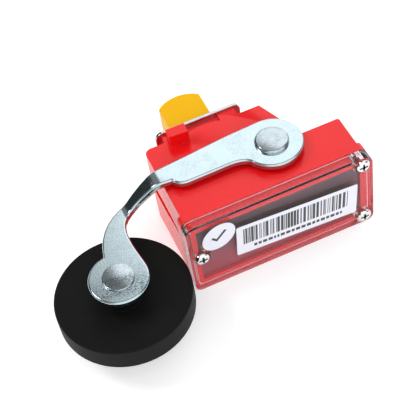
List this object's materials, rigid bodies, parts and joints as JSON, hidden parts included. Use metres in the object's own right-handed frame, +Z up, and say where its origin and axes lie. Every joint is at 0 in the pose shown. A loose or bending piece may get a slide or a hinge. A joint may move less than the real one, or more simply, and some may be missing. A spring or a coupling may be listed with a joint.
{
  "type": "limit switch",
  "caption": "Limit switch with a stepped steel roller lever, clear terminal cover, stop block and sliding reset button on a plastic casing.",
  "frame": {"origin": "on the lever's pivot axis, in the plane of the underside that the switch is mounted on", "axes": "+Z up along the pivot, out of the casing on the lever's side; +X along the cover's long edge, away from the roller; +Y from the clear cover towards the reset button"},
  "size_m": [0.1262, 0.0947, 0.0415],
  "materials": {
    "red_casing": "satin moulded plastic",
    "red_lid": "dull moulded plastic",
    "clear_cover": "clear moulded plastic",
    "chrome_screw": "bright plated",
    "plain_screw": "zinc plated",
    "brass": "plain brass",
    "white_label": "matt sticker",
    "steel_plate": "zinc plated sheet",
    "bronze_bush": "oiled sintered bronze",
    "black_rubber": "matt rubber",
    "black_nylon": "matt nylon",
    "brown_phenolic": "moulded phenolic",
    "zinc_lever": "bright zinc plated steel",
    "zinc_rivet": "bright zinc plated steel",
    "zinc_steel": "zinc plated steel",
    "cam_steel": "hardened steel",
    "spring_steel": "spring steel",
    "roller_rubber": "moulded rubber",
    "dark_nylon": "nylon",
    "ivory_nylon": "nylon",
    "silver": "silver",
    "yellow_button": "satin moulded plastic"
  },
  "bodies": {
    "casing": {"housing": "red_casing", "inner_lid": "red_lid", "cover": "clear_cover", "cover_screws": "chrome_screw", "cover_inserts": "brass", "bar_label": "white_label", "oval_label": "white_label", "back_plate": "steel_plate", "plate_screws": "plain_screw", "shaft_bush": "bronze_bush", "shaft_seal": "black_rubber", "mount_inserts": "brass", "entry_bush": "black_nylon", "entry_grommet": "black_rubber", "contact_base": "brown_phenolic", "base_screws": "plain_screw", "front_contacts": "brass", "back_contacts": "brass", "terminal_screws": "plain_screw", "clamp_washers": "zinc_steel", "return_spring": "spring_steel", "plunger_spring": "spring_steel", "reset_spring": "spring_steel"},
    "lever": {"lever_arm": "zinc_lever", "pivot_shaft": "zinc_rivet", "lever_cam": "cam_steel", "cam_pin": "cam_steel", "shaft_clip": "spring_steel", "roller_axle": "zinc_rivet", "axle_spacer": "black_nylon", "axle_washer": "zinc_steel"},
    "roller": {"roller_tyre": "roller_rubber", "roller_hub": "dark_nylon"},
    "plunger": {"plunger": "ivory_nylon", "contact_bridges": "brass", "bridge_tips": "silver", "plunger_clip": "spring_steel"},
    "button": {"reset_button": "yellow_button", "reset_fork": "zinc_steel", "fork_screws": "plain_screw"}
  },
  "joints": [
    {"name": "lever_hinge", "type": "hinge", "parent": "casing", "child": "lever", "pos_m": [0, 0, 0.02], "axis": [0, 0, 1], "range_deg": [-15, 20], "stiffness_Nm_per_rad": 0.4, "deforming": ["return_spring"]},
    {"name": "roller_spin", "type": "hinge", "parent": "lever", "child": "roller", "pos_m": [-0.07108, -0.02392, 0.017], "axis": [0, 0, 1], "continuous": true},
    {"name": "plunger_slide", "type": "slide", "parent": "casing", "child": "plunger", "axis": [-1, 0, 0], "range_m": [-0.0012, 0.0015], "deforming": ["plunger_spring"]},
    {"name": "reset_slide", "type": "slide", "parent": "casing", "child": "button", "axis": [0, -1, 0], "range_m": [0, 0.005], "stiffness_N_per_m": 400, "springref_m": -0.004, "deforming": ["reset_spring"]}
  ],
  "couplings": [
    {"joint": "plunger_slide", "follows": "lever_hinge", "m_per_rad": 0.004}
  ]
}
